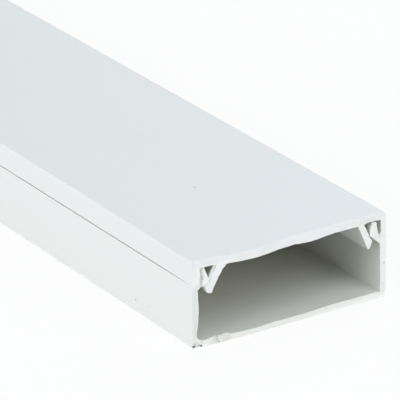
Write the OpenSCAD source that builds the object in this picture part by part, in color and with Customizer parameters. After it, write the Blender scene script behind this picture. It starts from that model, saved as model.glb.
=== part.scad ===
// Mini trunking for surface wiring: a channel that is fixed to the wall, and the lid that clips over it.
// X runs across the trunking, Y along it and Z out from the wall.
// The origin is the middle of the back, on the face that lies against the wall.

/* [Trunking] */
// Length of the stick
length = 2000; // [100:50:3000]
// Width over the side walls
width = 40; // [34:1:100]
// Height over the lid
height = 16; // [15:1:60]

/* [Base] */
// Thickness of the side walls
wall_t = 1.3; // [1:0.1:1.8]
// Thickness of the floor
floor_t = 1.1; // [0.9:0.1:2.5]
// Fillet where the floor meets the side walls
floor_fillet = 0.5; // [0.2:0.1:1.5]

/* [Lid] */
// Thickness of the lid's panel
panel_t = 1.3; // [0.9:0.1:2]
// Thickness of the lid's side skirts
skirt_t = 1.35; // [1:0.05:1.6]
// Height of the skirts, from the top face to their lower edge
skirt_h = 4.4; // [3.8:0.1:4.6]
// Radius along the lid's outer edges
lid_edge_r = 0.5; // [0.2:0.1:0.9]

/* [Snap lips of the base] */
// Width of the slot between a skirt and the top of its lip
slot_w = 0.85; // [0.6:0.05:1.2]
// Thickness of a lip at its top
lip_t = 0.75; // [0.5:0.05:1]
// Height of a lip, from its hook edge to its top
lip_h = 2.25; // [1.9:0.05:2.4]
// Height of a lip's nearly upright inner face, above its hook edge
lip_upright_h = 1.35; // [1:0.05:1.5]
// How far a lip leans out between its hook edge and its top
lip_lean = 0.6; // [0.3:0.05:0.9]
// Slope of the shelf under a lip, above the level
shelf_angle = 42; // [36:1:46]
// Height of the shoulder that a skirt's lower edge sits outside
shoulder_h = 0.5; // [0.2:0.05:0.6]

/* [Snap legs of the lid] */
// Thickness of a leg
leg_t = 1.25; // [0.9:0.05:1.6]
// Angle between a leg and the upright
leg_angle = 25; // [20:1:30]
// Height of a leg, from the panel to its tip
leg_h = 4.95; // [4.7:0.05:5.6]
// How far a barb reaches out past the hook edge above it
barb_reach = 0.65; // [0.3:0.05:0.8]
// Height of a barb's back, from its shoulder to its point
barb_back_h = 0.65; // [0.5:0.05:0.8]
// Distance down from the hook edge to a barb's shoulder
barb_drop = 0.45; // [0.35:0.05:0.6]
// Flat across a leg's tip
tip_w = 0.5; // [0.3:0.05:0.7]

/* [Fit] */
// Gap that shows as the seam between a skirt and the base
seam_gap = 0.2; // [0.1:0.05:0.4]
// Clearance where the lid and the base bear on each other
fit_gap = 0.1; // [0.05:0.01:0.2]

/* [Hidden] */
arc_steps = 4;             // facets along a rounded corner
base_edge_r = 0.3;         // along the base's outer edges
fine_r = 0.12;             // on the corners that the extrusion die leaves nearly sharp
slot_r = 0.3;              // at the foot of the slot beside a lip
slot_rise = 0.6;           // of the slot's foot, from the shoulder to the lip
belly_r = 0.6;             // where a lip's inner face starts to lean out
belly_out = 0.08;          // how far that is outside the hook edge
tip_rise = 0.3;            // of the bevel between a leg's tip and its barb
pvc_white = [0.93, 0.94, 0.93];

half_w = width / 2;
panel_under = height - panel_t;
wall_in = half_w - wall_t;
skirt_in = half_w - skirt_t;
skirt_foot = height - skirt_h;
ledge = skirt_foot - seam_gap;
lip_top = panel_under - fit_gap;
lip_out = skirt_in - slot_w;
lip_in = lip_out - lip_t;
hook_x = lip_in - lip_lean;
hook_z = lip_top - lip_h;
shelf_foot = hook_z - (wall_in - hook_x) * tan(shelf_angle);
shoulder_out = skirt_in - fit_gap;

leg_slope = tan(leg_angle);
leg_width = leg_t / cos(leg_angle);
tip_z = panel_under - leg_h;
barb_z = hook_z - barb_drop;

// How far out a leg's outer face is at the height z: it passes the hook edge with fit_gap to spare
function leg_out(z) = hook_x - fit_gap + (hook_z - z) * leg_slope;
function leg_in(z) = leg_out(z) - leg_width;

// The corner p between its neighbours a and b, rounded to the radius r, as the points of its arc
function corner(a, p, b, r) =
    let (
        to_a = (a - p) / norm(a - p),
        to_b = (b - p) / norm(b - p),
        half = acos(to_a * to_b) / 2,
        centre = p + (to_a + to_b) / norm(to_a + to_b) * r / sin(half),
        start = p + to_a * r / tan(half) - centre,
        from = atan2(start.y, start.x),
        side = sign(to_a.x * to_b.y - to_a.y * to_b.x),
        sweep = -side * (180 - 2 * half)
    )
    r == 0 ? [p] : [
        for (i = [0 : arc_steps])
            let (t = from + sweep * i / arc_steps)
            centre + r * [cos(t), sin(t)]
    ];

// Outline of a symmetrical section. half is its right half, a list of [x, z, radius] that starts
// and ends on the middle line.
function section(half) =
    let (
        at = [for (c = half) [c.x, c.y]],
        right = [for (i = [1 : len(half) - 2]) each corner(at[i - 1], at[i], at[i + 1], half[i].z)],
        left = [for (i = [len(right) - 1 : -1 : 0]) [-right[i].x, right[i].y]]
    )
    concat(right, left);

// A section run along the trunking's whole length
module extrusion(half) {
    translate([0, length / 2, 0]) rotate([90, 0, 0]) linear_extrude(length) polygon(section(half));
}

module trunking_base() {
    color(pvc_white) extrusion([
        [0, 0, 0],
        [half_w, 0, base_edge_r],
        [half_w, ledge, fine_r],
        [shoulder_out, ledge, fine_r],
        [shoulder_out, ledge + shoulder_h, fine_r],
        [lip_out + slot_r, ledge + shoulder_h + slot_rise, slot_r],
        [lip_out, lip_top, fine_r],
        [lip_in, lip_top, fine_r],
        [hook_x + belly_out, hook_z + lip_upright_h, belly_r],
        [hook_x, hook_z, fine_r],
        [wall_in, shelf_foot, fine_r],
        [wall_in, floor_t, floor_fillet],
        [0, floor_t, 0],
    ]);
}

module snap_lid() {
    color(pvc_white) extrusion([
        [0, height, 0],
        [half_w, height, lid_edge_r],
        [half_w, skirt_foot, fine_r],
        [skirt_in, skirt_foot, fine_r],
        [skirt_in, panel_under, fine_r],
        [leg_out(panel_under), panel_under, fine_r],
        [leg_out(barb_z), barb_z, fine_r],
        [hook_x + barb_reach, barb_z - barb_back_h, fine_r],
        [leg_in(tip_z) + tip_w, tip_z + tip_rise, fine_r],
        [leg_in(tip_z), tip_z, fine_r],
        [leg_in(panel_under), panel_under, fine_r],
        [0, panel_under, 0],
    ]);
}

trunking_base();
snap_lid();
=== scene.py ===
import math
import random

import bmesh
import bpy
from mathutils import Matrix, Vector


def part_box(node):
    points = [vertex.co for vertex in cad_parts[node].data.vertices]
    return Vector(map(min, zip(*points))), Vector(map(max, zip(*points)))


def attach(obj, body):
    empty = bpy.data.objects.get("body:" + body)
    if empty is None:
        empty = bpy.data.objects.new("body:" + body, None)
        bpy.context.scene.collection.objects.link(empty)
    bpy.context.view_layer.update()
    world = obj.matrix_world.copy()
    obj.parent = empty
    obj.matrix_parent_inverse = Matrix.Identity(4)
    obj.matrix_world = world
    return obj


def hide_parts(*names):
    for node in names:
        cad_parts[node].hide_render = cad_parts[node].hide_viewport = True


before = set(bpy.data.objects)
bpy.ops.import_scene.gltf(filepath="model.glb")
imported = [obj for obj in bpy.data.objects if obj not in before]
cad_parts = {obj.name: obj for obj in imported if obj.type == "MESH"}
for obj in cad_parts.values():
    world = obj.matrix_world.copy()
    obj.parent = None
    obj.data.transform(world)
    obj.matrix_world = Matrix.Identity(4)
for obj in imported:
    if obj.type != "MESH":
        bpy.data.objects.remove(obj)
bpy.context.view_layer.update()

mm = 0.001
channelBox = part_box("trunking_base")
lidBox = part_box("snap_lid")
nearEnd = channelBox[0][1]
farEnd = channelBox[1][1]
topFace = lidBox[1][2]
touching = 0.01         # mm within which two places count as one
print("frame loaded")

# The sawn face at the near end, as the hacksaw left it: lengths in mm, depths from the CAD end inwards
nearCut = {
    "depth": 0.95,      # of the face on the whole
    "reach": 4.0,       # how far along the trunking the face's unevenness is felt
    "cell": 0.2,        # of the grid over the face
    "rings": (0.2, 0.5, 1.0, 2.0, 4.0, 7.0, 12.0, 20.0),
    "ripple": 0.06,
    "crumble": 0.05,
    "nick": (0.15, 0.3, 0.03, 0.11),   # least and most width, least and most depth
}
farCut = {
    "depth": 0.15,
    "reach": 1.5,
    "cell": 0.5,
    "rings": (0.4, 1.5),
    "ripple": 0.02,
    "crumble": 0.02,
    "nick": (0.3, 0.5, 0.03, 0.08),
}
stretch = 100           # mm between the rings along the rest of the stick

viewpoint = {
    "azimuth": -33.255,
    "elevation": 23.028,
    "lens": 340.3,
    "eye": (-337.44, -485.97, 274.32),  # mm, from the sawn end's bottom middle
    "clip": (0.05, 20),
}


def makeCamera(name, settings):
    data = bpy.data.cameras.new(name)
    data.lens = settings["lens"]
    data.clip_start, data.clip_end = settings["clip"]
    camera = bpy.data.objects.new(name, data)
    bpy.context.scene.collection.objects.link(camera)
    sawn = Vector((0, nearEnd + nearCut["depth"] * mm, 0))
    camera.location = sawn + Vector(settings["eye"]) * mm
    tilt = math.radians(90 - settings["elevation"])
    camera.rotation_euler = (tilt, 0, math.radians(settings["azimuth"]))
    bpy.context.scene.camera = camera


makeCamera("camera", viewpoint)


# One socket of a material. Maths on it adds Math nodes, and node() makes any other node.
class Wire:
    def __init__(self, tree, socket=None):
        self.tree = tree
        self.socket = socket

    def node(self, kind, settings, values, out=0):
        made = self.tree.nodes.new(kind)
        for name, value in settings.items():
            setattr(made, name, value)
        for name, value in values.items():
            if isinstance(value, Wire):
                self.tree.links.new(value.socket, made.inputs[name])
            else:
                made.inputs[name].default_value = value
        return Wire(self.tree, made.outputs[out])

    def maths(self, operation, a, b):
        return self.node("ShaderNodeMath", {"operation": operation}, {0: a, 1: b})

    def __add__(self, other):
        return self.maths("ADD", self, other)

    def __radd__(self, other):
        return self.maths("ADD", other, self)

    def __sub__(self, other):
        return self.maths("SUBTRACT", self, other)

    def __rsub__(self, other):
        return self.maths("SUBTRACT", other, self)

    def __mul__(self, other):
        return self.maths("MULTIPLY", self, other)

    def __rmul__(self, other):
        return self.maths("MULTIPLY", other, self)

    def step(self, start, end):     # 0 at start, 1 at end, smooth between
        return self.node("ShaderNodeMapRange", {"interpolation_type": "SMOOTHSTEP"},
                         {"Value": self, "From Min": start, "From Max": end})

    def noise(self, scale, detail=2.0, turn=(0, 0, 0), size=(1, 1, 1)):
        spot = self.node("ShaderNodeMapping", {}, {"Vector": self, "Rotation": turn, "Scale": size})
        return self.node("ShaderNodeTexNoise", {}, {"Vector": spot, "Scale": scale, "Detail": detail})

    def part(self, axis):
        return self.node("ShaderNodeSeparateXYZ", {}, {"Vector": self}, axis)


# Mix has a socket of each name for every data type, so a colour's are looked up by their kind
def mixColours(wire, share, a, b):
    made = wire.tree.nodes.new("ShaderNodeMix")
    made.data_type = "RGBA"
    sockets = {s.identifier: s for s in made.inputs}
    for key, value in (("Factor_Float", share), ("A_Color", a), ("B_Color", b)):
        if isinstance(value, Wire):
            wire.tree.links.new(value.socket, sockets[key])
        else:
            sockets[key].default_value = value if key == "Factor_Float" else (*value, 1)
    return Wire(wire.tree, next(s for s in made.outputs if s.identifier == "Result_Color"))


def newMaterial(name):
    material = bpy.data.materials.new(name)
    material.use_nodes = True
    tree = material.node_tree
    place = Wire(tree).node("ShaderNodeTexCoord", {}, {}, "Object")
    millimetres = place.node("ShaderNodeMapping", {}, {"Vector": place, "Scale": (1000, 1000, 1000)})
    return material, tree.nodes["Principled BSDF"], millimetres


def feed(shader, **inputs):
    for name, value in inputs.items():
        socket = shader.inputs[name.replace("_", " ")]
        if isinstance(value, Wire):
            value.tree.links.new(value.socket, socket)
        else:
            socket.default_value = value


pvcIndex = 1.53         # refractive index of rigid PVC
pvcLook = {
    "colour": (0.785, 0.79, 0.735),
    "tired": (0.765, 0.77, 0.715),       # where handling has dulled it
    "speck": (0.16, 0.16, 0.15),
    "roughness": (0.34, 0.46),
    "dieLines": (1.6, 9),                # noise scale of the broad and the fine lines along the stick
    "clouding": 0.035,
    "orangePeel": 1.1,
    "scratches": (0.9, 0.12),            # noise scale of the scratches, and of the patches they lie in
    "dust": (0.05, 0.0035, 0.006, 0.55),     # cell scale, inner and outer edge of a grain, and how dark
    "relief": 0.012,                     # mm
    "specks": (                          # mm from the sawn end's bottom middle, and the radius
        (-20.0, 18.4, 2.3, 0.15),
        (-20.0, 14.1, 2.7, 0.09),
        (-1.82, 27.55, 16.0, 0.17),      # with a short tail
        (-1.88, 28.1, 16.0, 0.1),
    ),
}


def whitePvc(look):
    material, shader, place = newMaterial("whitePvc")
    broad, narrow = look["dieLines"]
    drawn = place.noise(broad, 3, size=(1, 0.004, 1))
    fine = place.noise(narrow, 2, size=(1, 0.01, 1))
    cloud = place.noise(look["clouding"], 2, size=(1, 0.35, 1))
    orangePeel = place.noise(look["orangePeel"], 1)
    handled = cloud.step(0.45, 0.75) * 0.6 + drawn.step(0.4, 0.8) * 0.4
    lines, patches = look["scratches"]
    scratch = place.noise(lines, 2, turn=(0, 0, 0.2), size=(1, 0.03, 1)).step(0.71, 0.75)
    scratch = scratch * place.noise(patches, 1).step(0.52, 0.6)
    colour = mixColours(place, handled, look["colour"], look["tired"])
    for x, y, z, radius in look["specks"]:
        spot = (x, (nearEnd / mm) + nearCut["depth"] + y, z)
        apart = place.node("ShaderNodeVectorMath", {"operation": "DISTANCE"}, {0: place, 1: spot}, "Value")
        colour = mixColours(place, 1 - apart.step(radius * 0.6, radius), colour, look["speck"])
    cells, inner, outer, dark = look["dust"]
    dust = place.node("ShaderNodeTexVoronoi", {}, {"Vector": place, "Scale": cells}, "Distance")
    colour = mixColours(place, (1 - dust.step(inner, outer)) * dark, colour, look["speck"])
    low, high = look["roughness"]
    rough = low + (high - low) * handled + scratch * 0.12
    height = drawn * 0.5 + fine * 0.25 + orangePeel * 0.35 - scratch * 0.5
    relief = {"Height": height, "Distance": look["relief"] * mm, "Strength": 1.0}
    bump = place.node("ShaderNodeBump", {}, relief)
    feed(shader, Base_Color=colour, Roughness=rough, Normal=bump, IOR=pvcIndex)
    return material


sawnLook = {
    "colour": (0.965, 0.965, 0.93),
    "dull": (0.935, 0.935, 0.90),
    "bevelShade": (0.855, 0.855, 0.835),    # painted shade at the top edge, which is worn smooth: darker so that its bevel shades like the top
    "bevelShadeFrom": (14.9, 15.9),         # mm up
    "leftWallShade": (0.89, 0.89, 0.86),         # painted shade on the left wall's face, darker than the rest of the cut
    "leftWall": (18.8, 19.1),           # mm left of the middle, where its face starts
    "leftWallTop": (10.8, 11.4),
    "roughness": (0.55, 0.8),
    "tooth": 0.42,                      # mm between the marks of the saw's teeth
    "crumbs": 3.5,                      # noise scale
    "relief": 0.05,                     # mm
}


def sawnPvc(look):
    material, shader, place = newMaterial("sawnPvc")
    marks = place.noise(1 / look["tooth"], 2, turn=(0, 0.5, 0), size=(0.12, 1, 1.6))
    crumbs = place.noise(look["crumbs"], 3)
    worn = marks.step(0.35, 0.7) * 0.6 + crumbs.step(0.45, 0.7) * 0.4
    low, high = look["roughness"]
    bump = place.node("ShaderNodeBump", {}, {"Height": marks + crumbs * 0.7, "Distance": look["relief"] * mm})
    colour = mixColours(place, worn, look["colour"], look["dull"])
    # painted shade: the left wall's face, below its top, is darkened
    below = 1 - place.part("Z").step(*look["leftWallTop"])
    leftWall = (0 - place.part("X")).step(*look["leftWall"]) * below
    colour = mixColours(place, leftWall, colour, look["leftWallShade"])
    # painted shade: the cut's worn top edge is darkened towards the top so that its bevel shades like the top
    # face
    bevelShade = (place.part("Z") + place.noise(0.5, 2) * 0.6).step(*look["bevelShadeFrom"])
    colour = mixColours(place, bevelShade, colour, look["bevelShade"])
    feed(shader, Base_Color=colour, Roughness=low + (high - low) * worn,
         Normal=bump, IOR=pvcIndex, Specular_IOR_Level=0.9)
    return material


def plainFinish(name, low, high, roughness, scale):
    material, shader, place = newMaterial(name)
    mottle = place.noise(scale, 3)
    relief = 0.03 * mm
    bump = place.node("ShaderNodeBump", {}, {"Height": mottle, "Distance": relief})
    feed(shader, Base_Color=mixColours(place, mottle.step(0.35, 0.65), low, high),
         Roughness=roughness + mottle * 0.15, Normal=bump)
    return material


extruded = whitePvc(pvcLook)
sawn = sawnPvc(sawnLook)
swarfFinish = plainFinish("swarf", (0.80, 0.81, 0.79), (0.88, 0.89, 0.88), 0.45, 3)
flakeFinish = plainFinish("flake", (0.76, 0.77, 0.74), (0.90, 0.90, 0.87), 0.5, 1.2)
dustFinish = plainFinish("dust", (0.34, 0.34, 0.28), (0.66, 0.66, 0.6), 0.55, 6)
nearBlackFinish = plainFinish("nearBlack", (0.02, 0.02, 0.018), (0.06, 0.06, 0.05), 0.6, 8)
print("materials made")


def onlyThis(piece):
    bpy.ops.object.select_all(action="DESELECT")
    piece.select_set(True)
    bpy.context.view_layer.objects.active = piece


def chooseFaces(piece, test):
    mesh = bmesh.from_edit_mesh(piece.data)
    for face in mesh.faces:
        face.select_set(False)
    for face in mesh.faces:
        if not face.hide and test(face):
            face.select_set(True)
    mesh.select_flush_mode()
    bmesh.update_edit_mesh(piece.data)


def cutPlane(point, normal):
    bpy.ops.mesh.select_all(action="SELECT")
    bpy.ops.mesh.bisect(plane_co=point, plane_no=normal, threshold=1e-7)


# A merged copy of a CAD node, with the extruded finish first and the sawn one second
def copyNode(name, node):
    piece = bpy.data.objects.new(name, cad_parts[node].data.copy())
    bpy.context.scene.collection.objects.link(piece)
    piece.data.materials.clear()
    piece.data.materials.append(extruded)
    piece.data.materials.append(sawn)
    onlyThis(piece)
    bpy.ops.object.mode_set(mode="EDIT")
    bpy.ops.mesh.select_all(action="SELECT")
    bpy.ops.mesh.remove_doubles(threshold=1e-6)
    bpy.ops.mesh.dissolve_limited(angle_limit=math.radians(1))
    bpy.ops.object.mode_set(mode="OBJECT")
    return piece


def between(low, high, cell):
    count = math.ceil((high - low) / cell)
    return [low + (high - low) * i / count for i in range(1, count)]


# Cuts an end's face and the first rings behind it into a grid, ready to be roughened
def gridEnd(piece, end, inwards, cut, box):
    onlyThis(piece)
    bpy.ops.object.mode_set(mode="EDIT")
    bpy.ops.mesh.select_mode(type="FACE")
    for distance in cut["rings"]:
        cutPlane((0, end + inwards * distance * mm, 0), (0, 1, 0))

    def sawnFace(face):
        return abs(face.normal.y) > 0.9 and abs(face.calc_center_median().y - end) < touching * mm

    chooseFaces(piece, sawnFace)
    piece.active_material_index = 1
    bpy.ops.object.material_slot_assign()
    edge = end + inwards * cut["reach"] * mm
    chooseFaces(piece, lambda f: (f.calc_center_median().y - edge) * inwards < 0)
    bpy.ops.mesh.hide(unselected=True)
    for x in between(box[0][0], box[1][0], cut["cell"] * mm):
        cutPlane((x, 0, 0), (1, 0, 0))
    for z in between(box[0][2], box[1][2], cut["cell"] * mm):
        cutPlane((0, 0, z), (0, 0, 1))
    bpy.ops.mesh.reveal(select=False)
    bpy.ops.object.mode_set(mode="OBJECT")


def ringBody(piece, start, end, apart):
    onlyThis(piece)
    bpy.ops.object.mode_set(mode="EDIT")
    for y in between(start, end, apart):
        cutPlane((0, y, 0), (0, 1, 0))
    bpy.ops.object.mode_set(mode="OBJECT")


def applyModifier(piece, kind, **settings):
    onlyThis(piece)
    modifier = piece.modifiers.new(kind, kind)
    for name, value in settings.items():
        setattr(modifier, name, value)
    bpy.ops.object.modifier_apply(modifier=modifier.name)


# Moves a piece's points along an axis, each by amount times what share says of its place
def push(piece, axis, amount, share, texture=None):
    group = piece.vertex_groups.new(name="push")
    for point in piece.data.vertices:
        weight = min(1, max(0, share(point.co / mm)))
        if weight:
            group.add([point.index], weight, "REPLACE")
    applyModifier(piece, "DISPLACE", direction=axis, strength=amount * mm, vertex_group=group.name,
                  mid_level=0.5 if texture else 0, texture=texture, texture_coords="LOCAL")
    piece.vertex_groups.remove(piece.vertex_groups["push"])


def cloudTexture(name, size, depth):
    texture = bpy.data.textures.new(name, "CLOUDS")
    texture.noise_scale = size * mm
    texture.noise_depth = depth
    return texture


def bell(x, middle, width):
    return math.exp(-((x - middle) / width) ** 2)


def fade(y, start, end):    # 1 at start, 0 at end, smooth between
    t = min(1, max(0, (y - start) / (end - start)))
    return 1 - t * t * (3 - 2 * t)


def steps(x, first, *changes):      # first, with each change (amount, start, end) added from start to end
    return first + sum(amount * (1 - fade(x, start, end)) for amount, start, end in changes)


def nearby(p, reach):       # 1 at the near end, 0 at reach mm from it
    return fade(p.y, nearEnd / mm, nearEnd / mm + reach)


ripple = cloudTexture("ripple", 1.6, 2)
crumble = cloudTexture("crumble", 0.45, 3)


# Roughens an end: each wave says how much deeper the cut is at a place, chips counts the nicks in its edge
def roughEnd(piece, end, inwards, cut, waves, chips, seed):
    draw = random.Random(seed)
    atEnd = end / mm
    outline = edgePoints(piece, atEnd)
    narrow, wide, shallow, deep = cut["nick"]
    nicks = []
    for _ in range(chips):
        place = draw.choice(outline)
        width = draw.uniform(narrow, wide)
        nicks.append((*place, width, draw.uniform(shallow, deep)))
    deepest = cut["depth"] * 2.2        # more than depth, waves and nicks add up to
    rim = 0.3                           # mm behind the face that nicks and roughness reach

    def depth(p):
        total = cut["depth"] + sum(wave(p) for wave in waves)
        if abs(p.y - atEnd) < rim:
            total += sum(d * bell(math.hypot(p.x - x, p.z - z), 0, w) for x, z, w, d in nicks)
        return total * fade(abs(p.y - atEnd), 0, cut["reach"]) / deepest

    push(piece, "Y", inwards * deepest, depth)
    shift = cut["depth"] * inwards

    def cutFace(p):
        return fade(abs(p.y - atEnd - shift), 0, cut["depth"] * 1.5 + rim)

    push(piece, "Y", cut["ripple"] * 2, cutFace, ripple)
    push(piece, "Y", cut["crumble"] * 2, cutFace, crumble)


def across(x, width, depth, low=0, high=99):    # a wave of the cut at a place across the trunking
    return lambda p: depth * bell(p.x, x, width) * (low <= p.z <= high)


# The left wall below, and the lip or leg above it, cut back further than the rest
def leftSide(depth, wall, lip):
    def wave(p):
        up = 1 - fade(p.z, 10, 12)      # the wall ends and the lip begins
        start, end = (wall[i] + (lip[i] - wall[i]) * up for i in (0, 1))
        return depth * fade(p.x, start, end)
    return wave


def rightSide(depth, start, end, low=0, high=99):
    return lambda p: depth * (1 - fade(p.x, start, end)) * (low <= p.z <= high)


def rightWall(inner, *heights):     # its depth changes up the wall
    return lambda p: (p.x > inner) * steps(p.z, *heights)


def leanBack(depth, start, width):  # the right wall's face leans back outwards
    return lambda p: depth * min(1, max(0, (p.x - start) / width))


# The left wall's inner edge is broken away, and each break (z, width, depth) adds to that
def innerEdge(start, end, width, depth, breaks):
    def wave(p):
        share = (start < p.x < end) * min(1, (p.x - start) / width)
        return share * (depth + sum(d * bell(p.z, z, w) for z, w, d in breaks))
    return wave


def wornTop(least, most, middle, width, foot):  # the top edge of the cut, worn round
    def wave(p):
        up = max(0, (p.z - foot) / (topFace / mm - foot))
        return (least + (most - least) * bell(p.x, middle, width)) * up ** 2.2
    return wave


def edgePoints(piece, atEnd):
    faces = [f for f in piece.data.polygons if f.material_index == 1]
    count = {}
    for face in faces:
        for key in face.edge_keys:
            count[key] = count.get(key, 0) + 1
    points = piece.data.vertices
    rim = sorted({i for key, n in count.items() if n == 1 for i in key})
    return [(points[i].co.x / mm, points[i].co.z / mm) for i in rim
            if abs(points[i].co.y / mm - atEnd) < touching]


def smooth(piece, angle=32):
    onlyThis(piece)
    bpy.ops.object.shade_smooth_by_angle(angle=math.radians(angle))
    applyModifier(piece, "WEIGHTED_NORMAL", keep_sharp=True, weight=80)


channel = {
    "waves": (
        leftSide(0.6, (-19.2, -18.3), (-18.9, -16.4)),
        across(-17.8, 0.5, 0.15, high=1.2),
        across(-15.1, 1.8, 0.85, high=1.2),
        across(-8, 4, -0.42, high=1.2),
        across(1, 4, -0.18, high=1.2),
        rightSide(0.27, 3, 8, high=1.2),
        rightWall(18.4, -0.15, (0.15, 5.5, 7.5), (0.2, 9, 12)),
        leanBack(0.1, 19, 0.9),
        innerEdge(-19.4, -18, 0.7, 0.4, ((2.2, 1.3, 0.4), (6.4, 1.6, -0.15), (10.2, 0.9, 0.15))),
    ),
    "chips": (60, 4),           # nicks in the cut's edge, and the seed that places them
    "farChips": (12, 5),
    "lip": {                    # the left lip, which the saw has pushed out
        "lean": 0.84,           # mm at most, less as the cut is left behind
        "reach": 14,
        "between": (-18.6, -16.2),
        "up": (10.3, 11.75, 12.35, 14.6),   # the shelf's foot, the lip's, its hook edge and its top
        "inner": (16.45, 0.6),  # its inner face at the hook edge, and how far it leans by the top
        "outer": (18.1, -0.3),
        "bulge": (13.75, 2),    # middle and half height of what the inner face moves
        "stand": (0.75, 0.6, 0.33),     # mm in which the outer face gets going, its share, and its gain
        "shelf": (0.4, 1.8),    # share that the shelf moves, and mm in which it gets there
        "slope": 1.11,
        "behind": (0.1, 0.9),   # mm behind the shelf's face where that ends
    },
    "corner": {                 # the right one between wall and floor, drawn sharper than the fillet
        "wall": 18.7,
        "floor": 1.1,
        "fillet": 0.5,
        "sharpen": 0.36,
    },
    # the edge under the seam: where it lies, and how far it is burred up into the seam, in mm
    "seam": {"height": 11.4, "band": 0.13, "outside": 18.5, "reach": 12, "closed": 0.1},
}


# 1 on the edge beside the seam at the cut, where it is burred, and less further along
def seamEdge(seam):
    def share(p):
        edge = abs(p.z - seam["height"]) < seam["band"] and abs(p.x) > seam["outside"]
        return edge * nearby(p, seam["reach"])
    return share


def makeChannel(settings):
    piece = copyNode("channelProfile", "trunking_base")
    gridEnd(piece, nearEnd, 1, nearCut, channelBox)
    gridEnd(piece, farEnd, -1, farCut, channelBox)
    ringBody(piece, nearEnd + nearCut["rings"][-1] * mm, farEnd, stretch * mm)
    lip = settings["lip"]
    shelfFoot, foot, hook, top = lip["up"]

    def lipOut(p):
        low, high = lip["between"]
        if not (low < p.x < high and p.z > shelfFoot):
            return 0
        up = (p.z - hook) / (top - hook)
        if up < -0.01:      # on the shelf below the hook edge
            share, rise = lip["shelf"]
            apart = -p.x - lip["inner"][0] - (hook - p.z) * lip["slope"]
            grown = share * min(1, (p.z - shelfFoot) / rise)
            return grown * fade(apart, *lip["behind"]) * nearby(p, lip["reach"])
        inside, outside = (face + lean * up for face, lean in (lip["inner"], lip["outer"]))
        out = min(1, max(0, (-p.x - inside) / (outside - inside)))
        middle, half = lip["bulge"]
        bulge = max(0, 1 - ((p.z - middle) / half) ** 2)
        rise, least, gain = lip["stand"]
        stand = min(1, (p.z - foot) / rise) * (least + gain * up)
        return (bulge * (1 - out) + stand * out) * nearby(p, lip["reach"])

    corner = settings["corner"]
    wall, floorTop, fillet = corner["wall"], corner["floor"], corner["fillet"]

    def cornerOut(p):
        inFillet = wall - fillet <= p.x <= wall and p.z < floorTop + fillet
        return (wall - p.x) / fillet * inFillet * fade(floorTop - p.z, 0, fillet)

    def cornerDown(p):
        inFillet = floorTop <= p.z <= floorTop + fillet and p.x > wall - fillet
        return (p.z - floorTop) / fillet * inFillet * fade(p.x - wall, 0, fillet)

    push(piece, "X", corner["sharpen"], cornerOut)
    push(piece, "Z", -corner["sharpen"], cornerDown)
    push(piece, "X", -lip["lean"], lipOut)
    push(piece, "Z", settings["seam"]["closed"], seamEdge(settings["seam"]))
    roughEnd(piece, nearEnd, 1, nearCut, settings["waves"], *settings["chips"])
    roughEnd(piece, farEnd, -1, farCut, (), *settings["farChips"])
    smooth(piece)
    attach(piece, "base")
    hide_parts("trunking_base")


makeChannel(channel)
print("channel made")


lid = {
    "waves": (
        leftSide(0.25, (-14.5, -12.5), (-14.5, -12.5)),
        leftSide(0.3, (-19.3, -18.3), (-19.3, -18.3)),
        across(-8, 6, -0.85),
        across(-12.4, 1.8, -0.2),
        across(0.3, 0.7, 0.25),
        across(3.7, 3.2, -0.5),
        rightSide(0.25, 14, 19),
        across(16.9, 1.3, 0.35, low=14.2),
        wornTop(0.3, 0.8, 4, 6, 14.95),
    ),
    "chips": (60, 11),
    "farChips": (12, 12),
    "seam": {"height": 11.6, "band": 0.13, "outside": 18.5, "reach": 12, "closed": 0.09},
    "panelUnder": 14.7,
    # the left leg: where it lies, its inner face at the panel, and its slope and width across
    "leg": {"between": (-18, -13), "below": 0.02, "inner": 13.87, "slope": 0.466, "width": 1.38},
    # how far the saw dragged each form, in mm, and where: mm down from the panel, and mm along the lid
    "rootIn": {"drag": 0.2, "down": (0.5, 2.6), "reach": 8},
    "rootDown": {"drag": 0.3, "sides": (0.77, 0.28), "down": (0.5, 0.8), "up": (0.02, 0.6), "reach": 4},
    "legOut": {
        "drag": 1.0,
        "outer": (0.08, (0.6, 3.4, 3.9), (0.25, 3.9, 4.5)),
        "inner": (0, (0.14, 2.6, 4.6)),
        "reach": 8,
    },
    "legTip": {"drag": 0.22, "down": (3.6, 4.9), "reach": 3},
    "slotSide": {"drag": 0.25, "between": (18, 18.8), "above": (11.9, 12.5), "past": 0.1, "reach": 14},
    "hem": {"drag": 0.2, "humps": ((-8, 5, 1), (3, 4, 0.6)), "band": 0.05, "within": 13, "reach": 1.6},
}


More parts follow.
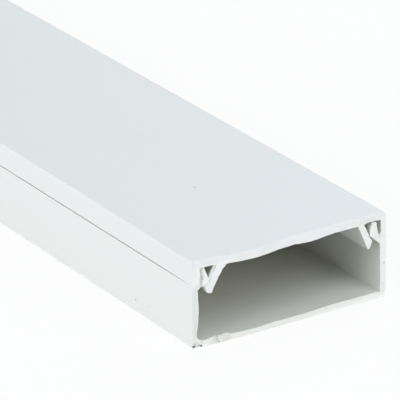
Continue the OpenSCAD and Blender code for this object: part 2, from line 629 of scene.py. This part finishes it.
def makeLid(settings):
    piece = copyNode("lidProfile", "snap_lid")
    gridEnd(piece, nearEnd, 1, nearCut, lidBox)
    gridEnd(piece, farEnd, -1, farCut, lidBox)
    ringBody(piece, nearEnd + nearCut["rings"][-1] * mm, farEnd, stretch * mm)
    under = settings["panelUnder"]
    leg = settings["leg"]

    def acrossLeg(p):   # 0 on the left leg's inner face, 1 on its outer face
        low, high = leg["between"]
        if not (low < p.x < high and p.z < under - leg["below"]):
            return None
        return min(1, max(0, (-p.x - leg["inner"] - (under - p.z) * leg["slope"]) / leg["width"]))

    def rootIn(p):      # its root is dragged towards the middle
        form = settings["rootIn"]
        out = acrossLeg(p)
        if out is None:
            return 0
        return (1 - out) * fade(under - p.z, *form["down"]) * nearby(p, form["reach"])

    def rootDown(p):    # the corner between its inner face and the panel is filled
        form = settings["rootDown"]
        middle, outside = form["sides"]
        apart = -p.x - leg["inner"]
        across = 1 + apart / middle if apart < 0 else 1 - apart / outside
        height = fade(under - p.z, *form["down"]) * fade(p.z - under, *form["up"])
        return max(0, across) * height * nearby(p, form["reach"])

    def legOut(p):      # it is dragged outwards, most below the base's shelf, where it still slides clear
        form = settings["legOut"]
        out = acrossLeg(p)
        if out is None:
            return 0
        outer = steps(under - p.z, *form["outer"])
        inner = steps(under - p.z, *form["inner"])
        return (out * outer + (1 - out) * inner) * nearby(p, form["reach"])

    def legTip(p):
        form = settings["legTip"]
        return (acrossLeg(p) is not None) * (1 - fade(under - p.z, *form["down"])) * nearby(p, form["reach"])

    def slotSide(p):    # the right skirt is drawn outwards beside its slot
        form = settings["slotSide"]
        low, high = form["between"]
        beside = low < p.x < high and p.z < under + form["past"]
        return beside * (1 - fade(p.z, *form["above"])) * nearby(p, form["reach"])

    def hem(p):         # the panel's lower edge is dragged down
        form = settings["hem"]
        share = sum(part * bell(p.x, x, width) for x, width, part in form["humps"])
        edge = abs(p.z - under) < form["band"] and abs(p.x) < form["within"]
        return edge * share * nearby(p, form["reach"])

    push(piece, "Z", -settings["seam"]["closed"], seamEdge(settings["seam"]))
    push(piece, "X", settings["rootIn"]["drag"], rootIn)
    push(piece, "Z", -settings["rootDown"]["drag"], rootDown)
    push(piece, "X", -settings["legOut"]["drag"], legOut)
    push(piece, "Z", -settings["legTip"]["drag"], legTip)
    push(piece, "X", settings["slotSide"]["drag"], slotSide)
    push(piece, "Z", -settings["hem"]["drag"], hem)
    roughEnd(piece, nearEnd, 1, nearCut, settings["waves"], *settings["chips"])
    roughEnd(piece, farEnd, -1, farCut, (), *settings["farChips"])
    smooth(piece)
    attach(piece, "lid")
    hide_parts("snap_lid")


makeLid(lid)
print("lid made")


# What the saw left behind: a flake that hangs from the floor, a strip off the leg, and crumbs
flake = {
    "middle": (-13.85, 0.8),
    "radius": (1.15, 0.77),
    "cell": 0.12,
    "stand": 0.1,       # mm in front of the sawn face
    "curl": 0.12,       # further out at its foot
    "hold": 0.3,        # back at its left edge, which still hangs on
    "heldTo": 0.3,      # mm left of its middle
    "wavy": 0.2,
    "ragged": 0.5,
    "thickness": 0.05,
}


def makeFlake(settings):
    bpy.ops.object.select_all(action="DESELECT")
    face = nearEnd + (nearCut["depth"] - settings["stand"]) * mm
    (x, z), (wide, high) = settings["middle"], settings["radius"]
    bpy.ops.mesh.primitive_circle_add(vertices=48, radius=1 * mm, fill_type="NGON",
                                      rotation=(math.pi / 2, 0, 0), location=(x * mm, face, z * mm))
    piece = bpy.context.active_object
    piece.name = "floorFlake"
    piece.scale = (wide, high, 1)
    bpy.ops.object.transform_apply(location=True, rotation=True, scale=True)
    bpy.ops.object.mode_set(mode="EDIT")
    for level in between(z - high, z + high, settings["cell"]):
        cutPlane((0, 0, level * mm), (0, 0, 1))
    for place in between(x - wide, x + wide, settings["cell"]):
        cutPlane((place * mm, 0, 0), (1, 0, 0))
    bpy.ops.object.mode_set(mode="OBJECT")
    push(piece, "Y", -settings["curl"], lambda p: fade(p.z, z - high, z + high))
    push(piece, "Y", settings["hold"], lambda p: fade(p.x, x - wide, x - settings["heldTo"]))
    push(piece, "Y", settings["wavy"], lambda p: 1, ripple)
    for axis in "XZ":
        push(piece, axis, settings["ragged"], lambda p: 1, crumble)
    applyModifier(piece, "SOLIDIFY", thickness=settings["thickness"] * mm, offset=0)
    applyModifier(piece, "SUBSURF", levels=1, render_levels=1)
    piece.data.materials.append(flakeFinish)
    bpy.ops.object.shade_smooth()
    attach(piece, "base")


makeFlake(flake)

# What the saw dragged off the left leg lies outside it, against the base's lip, and stays there
smear = {
    "up": (11.0, 14.62),        # its foot and its top
    "top": 15.4,                # how far out its inner edge is at the top
    "slope": 0.466,
    "width": (0.19, (0.12, 0, 1.2), (0.3, 2.3, 3.1), (-0.2, 3.2, 3.6)),     # and its changes on the way down
    "depth": 0.27,              # of its face behind the sawn face on the whole
    "thickness": 0.35,
    "wavy": 0.12,
    "ragged": 0.12,             # along its outer edge
    "edge": 0.08,               # mm from its inner edge where the outer one starts
}


def makeSmear(settings):
    bpy.ops.object.select_all(action="DESELECT")
    low, high = settings["up"]
    inner, blank = settings["top"], 0.1     # the upright blank that is drawn out into the strip
    face = nearEnd + (nearCut["depth"] + settings["depth"] + settings["thickness"] / 2) * mm
    bpy.ops.mesh.primitive_grid_add(x_subdivisions=4, y_subdivisions=24, size=1 * mm,
                                    rotation=(math.pi / 2, 0, 0),
                                    location=(-(inner + blank / 2) * mm, face, (low + high) / 2 * mm))
    piece = bpy.context.active_object
    piece.name = "legSmear"
    piece.scale = (blank, high - low, 1)
    bpy.ops.object.transform_apply(location=True, rotation=True, scale=True)
    furthest = 3                            # mm, more than any point is drawn out

    def outline(p):
        down = high - p.z
        drawn = down * settings["slope"] + (-p.x - inner) / blank * steps(down, *settings["width"])
        return drawn / furthest

    def outerEdge(p):
        return -p.x > inner + (high - p.z) * settings["slope"] + settings["edge"]

    push(piece, "X", -furthest, outline)
    applyModifier(piece, "SOLIDIFY", thickness=settings["thickness"] * mm, offset=0)
    push(piece, "Y", settings["wavy"], lambda p: 1, ripple)
    push(piece, "X", -settings["ragged"], outerEdge, crumble)
    piece.data.materials.append(sawn)
    smooth(piece, 50)
    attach(piece, "base")


makeSmear(smear)

crumbRagged = 2.2       # how far a crumb's surface is moved, times its size
crumbs = {      # name: body, x, mm in front of the sawn face, z, size, stretch along x y z, finish
    # two near-black crumbs at the left bottom corner
    "cornerBlack1": ("base", -19.83, -0.5, 0.15, 0.14, (1, 1, 1), "nearBlack"),
    "cornerBlack2": ("base", -18.35, -0.3, 0.12, 0.14, (1.1, 1, 0.95), "nearBlack"),
    "cornerCrumb1": ("base", -19.4, -0.6, 0.38, 0.19, (1.1, 0.8, 1), "dust"),
    "cornerCrumb2": ("base", -19.05, -0.5, 0.42, 0.18, (1.3, 0.8, 0.8), "swarf"),
    "cornerCrumb3": ("base", -18.9, -0.48, 0.2, 0.15, (1.6, 0.8, 0.8), "dust"),
    "cornerCrumb4": ("base", -19.5, -0.46, 0.12, 0.1, (1.5, 0.8, 0.9), "dust"),
    "cornerCrumb5": ("base", -18.75, -0.5, 0.5, 0.13, (1, 0.8, 0.8), "dust"),
    "floorCrumb1": ("base", -16.6, -0.4, 0.85, 0.12, (1.8, 0.8, 0.7), "swarf"),
    "floorCrumb2": ("base", 7.4, -0.2, 1.06, 0.09, (2.2, 0.8, 0.7), "swarf"),
    "wallCrumb1": ("base", 18.75, 0.05, 6.5, 0.12, (1, 0.9, 1.4), "swarf"),
    "wallCrumb2": ("base", 19.55, 0.02, 6.6, 0.13, (1.1, 0.5, 0.9), "dust"),
    "wallCrumb3": ("base", 18.77, 0.1, 2.9, 0.12, (1, 0.9, 1.6), "swarf"),
    "wallCrumb4": ("base", 19.3, 0.12, 2.7, 0.1, (1.2, 0.6, 0.8), "dust"),
    "wallCrumb5": ("base", -18.95, -0.9, 9.6, 0.1, (0.9, 0.9, 1.5), "swarf"),
    "lidCrumb1": ("lid", -15.62, -0.25, 11.3, 0.1, (0.8, 0.9, 1.5), "swarf"),
    "lidCrumb2": ("lid", -14.62, -0.25, 13.0, 0.09, (1, 0.8, 1.4), "swarf"),
    "lidCrumb3": ("lid", 1.1, 0.3, 14.66, 0.08, (1.8, 0.9, 0.8), "swarf"),
}


def makeCrumbs(settings):
    finishes = {"nearBlack": nearBlackFinish, "swarf": swarfFinish, "dust": dustFinish}
    for name, (body, x, out, z, size, shape, look) in settings.items():
        bpy.ops.object.select_all(action="DESELECT")
        place = Vector((x, nearEnd / mm + nearCut["depth"] - out, z)) * mm
        bpy.ops.mesh.primitive_ico_sphere_add(subdivisions=3, radius=size * mm, location=place)
        piece = bpy.context.active_object
        piece.name = name
        piece.scale = shape
        bpy.ops.object.transform_apply(location=True, rotation=True, scale=True)
        for axis in "XYZ":
            push(piece, axis, size * crumbRagged, lambda p: 1, crumble)
        piece.data.materials.append(finishes[look])
        bpy.ops.object.shade_smooth()
        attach(piece, body)


makeCrumbs(crumbs)
print("swarf made")


studio = {
    "lights": {                         # degrees round, up and across, power, colour
        "leftBox": (270, 25, 45, 0.573, (1.02, 1.0, 1.0)),
        "backBox": (225, 12, 45, 0.174, (0.865, 1.0, 1.40)),
        "topBox": (0, 60, 45, 0.357, (0.895, 1.0, 1.135)),
        "frontBox": (30, 12, 45, 0.342, (1.04, 1.0, 0.85)),
        "rightBox": (120, 40, 45, 0.332, (0.94, 1.0, 1.215)),
    },
    "floorWhite": 0.92,                 # share of the floor's look that shadows don't reach
    "floorColour": (0.92, 0.92, 0.92),
    "floorSize": 16,                    # metres
}


# 1 for what the camera sees directly, in a gloss or through glass
def seenRays(wire):
    rays = [wire.node("ShaderNodeLightPath", {}, {}, ray)
            for ray in ("Is Camera Ray", "Is Glossy Ray", "Is Transmission Ray")]
    return rays[0] + rays[1] + rays[2]


def makeStudio(settings):
    bpy.ops.object.select_all(action="DESELECT")
    bpy.ops.mesh.primitive_plane_add(size=settings["floorSize"], location=(0, 0, 0))
    floor = bpy.context.active_object
    floor.name = "floor"
    material = bpy.data.materials.new("floorPaper")
    material.use_nodes = True
    tree = material.node_tree
    shader = tree.nodes["Principled BSDF"]
    feed(shader, Base_Color=(*settings["floorColour"], 1), Roughness=0.9)
    wire = Wire(tree)
    glow = wire.node("ShaderNodeEmission", {}, {"Color": (1, 1, 1, 1), "Strength": 1.0})
    lit = Wire(tree, shader.outputs[0])
    seen = seenRays(wire) * settings["floorWhite"]
    mixed = wire.node("ShaderNodeMixShader", {}, {0: seen, 1: lit, 2: glow})
    tree.links.new(mixed.socket, tree.nodes["Material Output"].inputs["Surface"])
    floor.data.materials.append(material)

    world = bpy.data.worlds.new("studio")
    world.use_nodes = True
    bpy.context.scene.world = world
    tree = world.node_tree
    feed(tree.nodes["Background"], Color=(1, 1, 1, 1), Strength=seenRays(Wire(tree)))

    for name, (azimuth, elevation, width, power, colour) in settings["lights"].items():
        lamp = bpy.data.lights.new(name, "SUN")
        lamp.energy = power * math.pi
        lamp.angle = math.radians(width)
        lamp.color = colour
        box = bpy.data.objects.new(name, lamp)
        box.rotation_euler = (math.radians(90 - elevation), 0, math.radians(azimuth))
        bpy.context.scene.collection.objects.link(box)


makeStudio(studio)
bpy.context.scene.view_settings.view_transform = "Standard"
print("studio made")
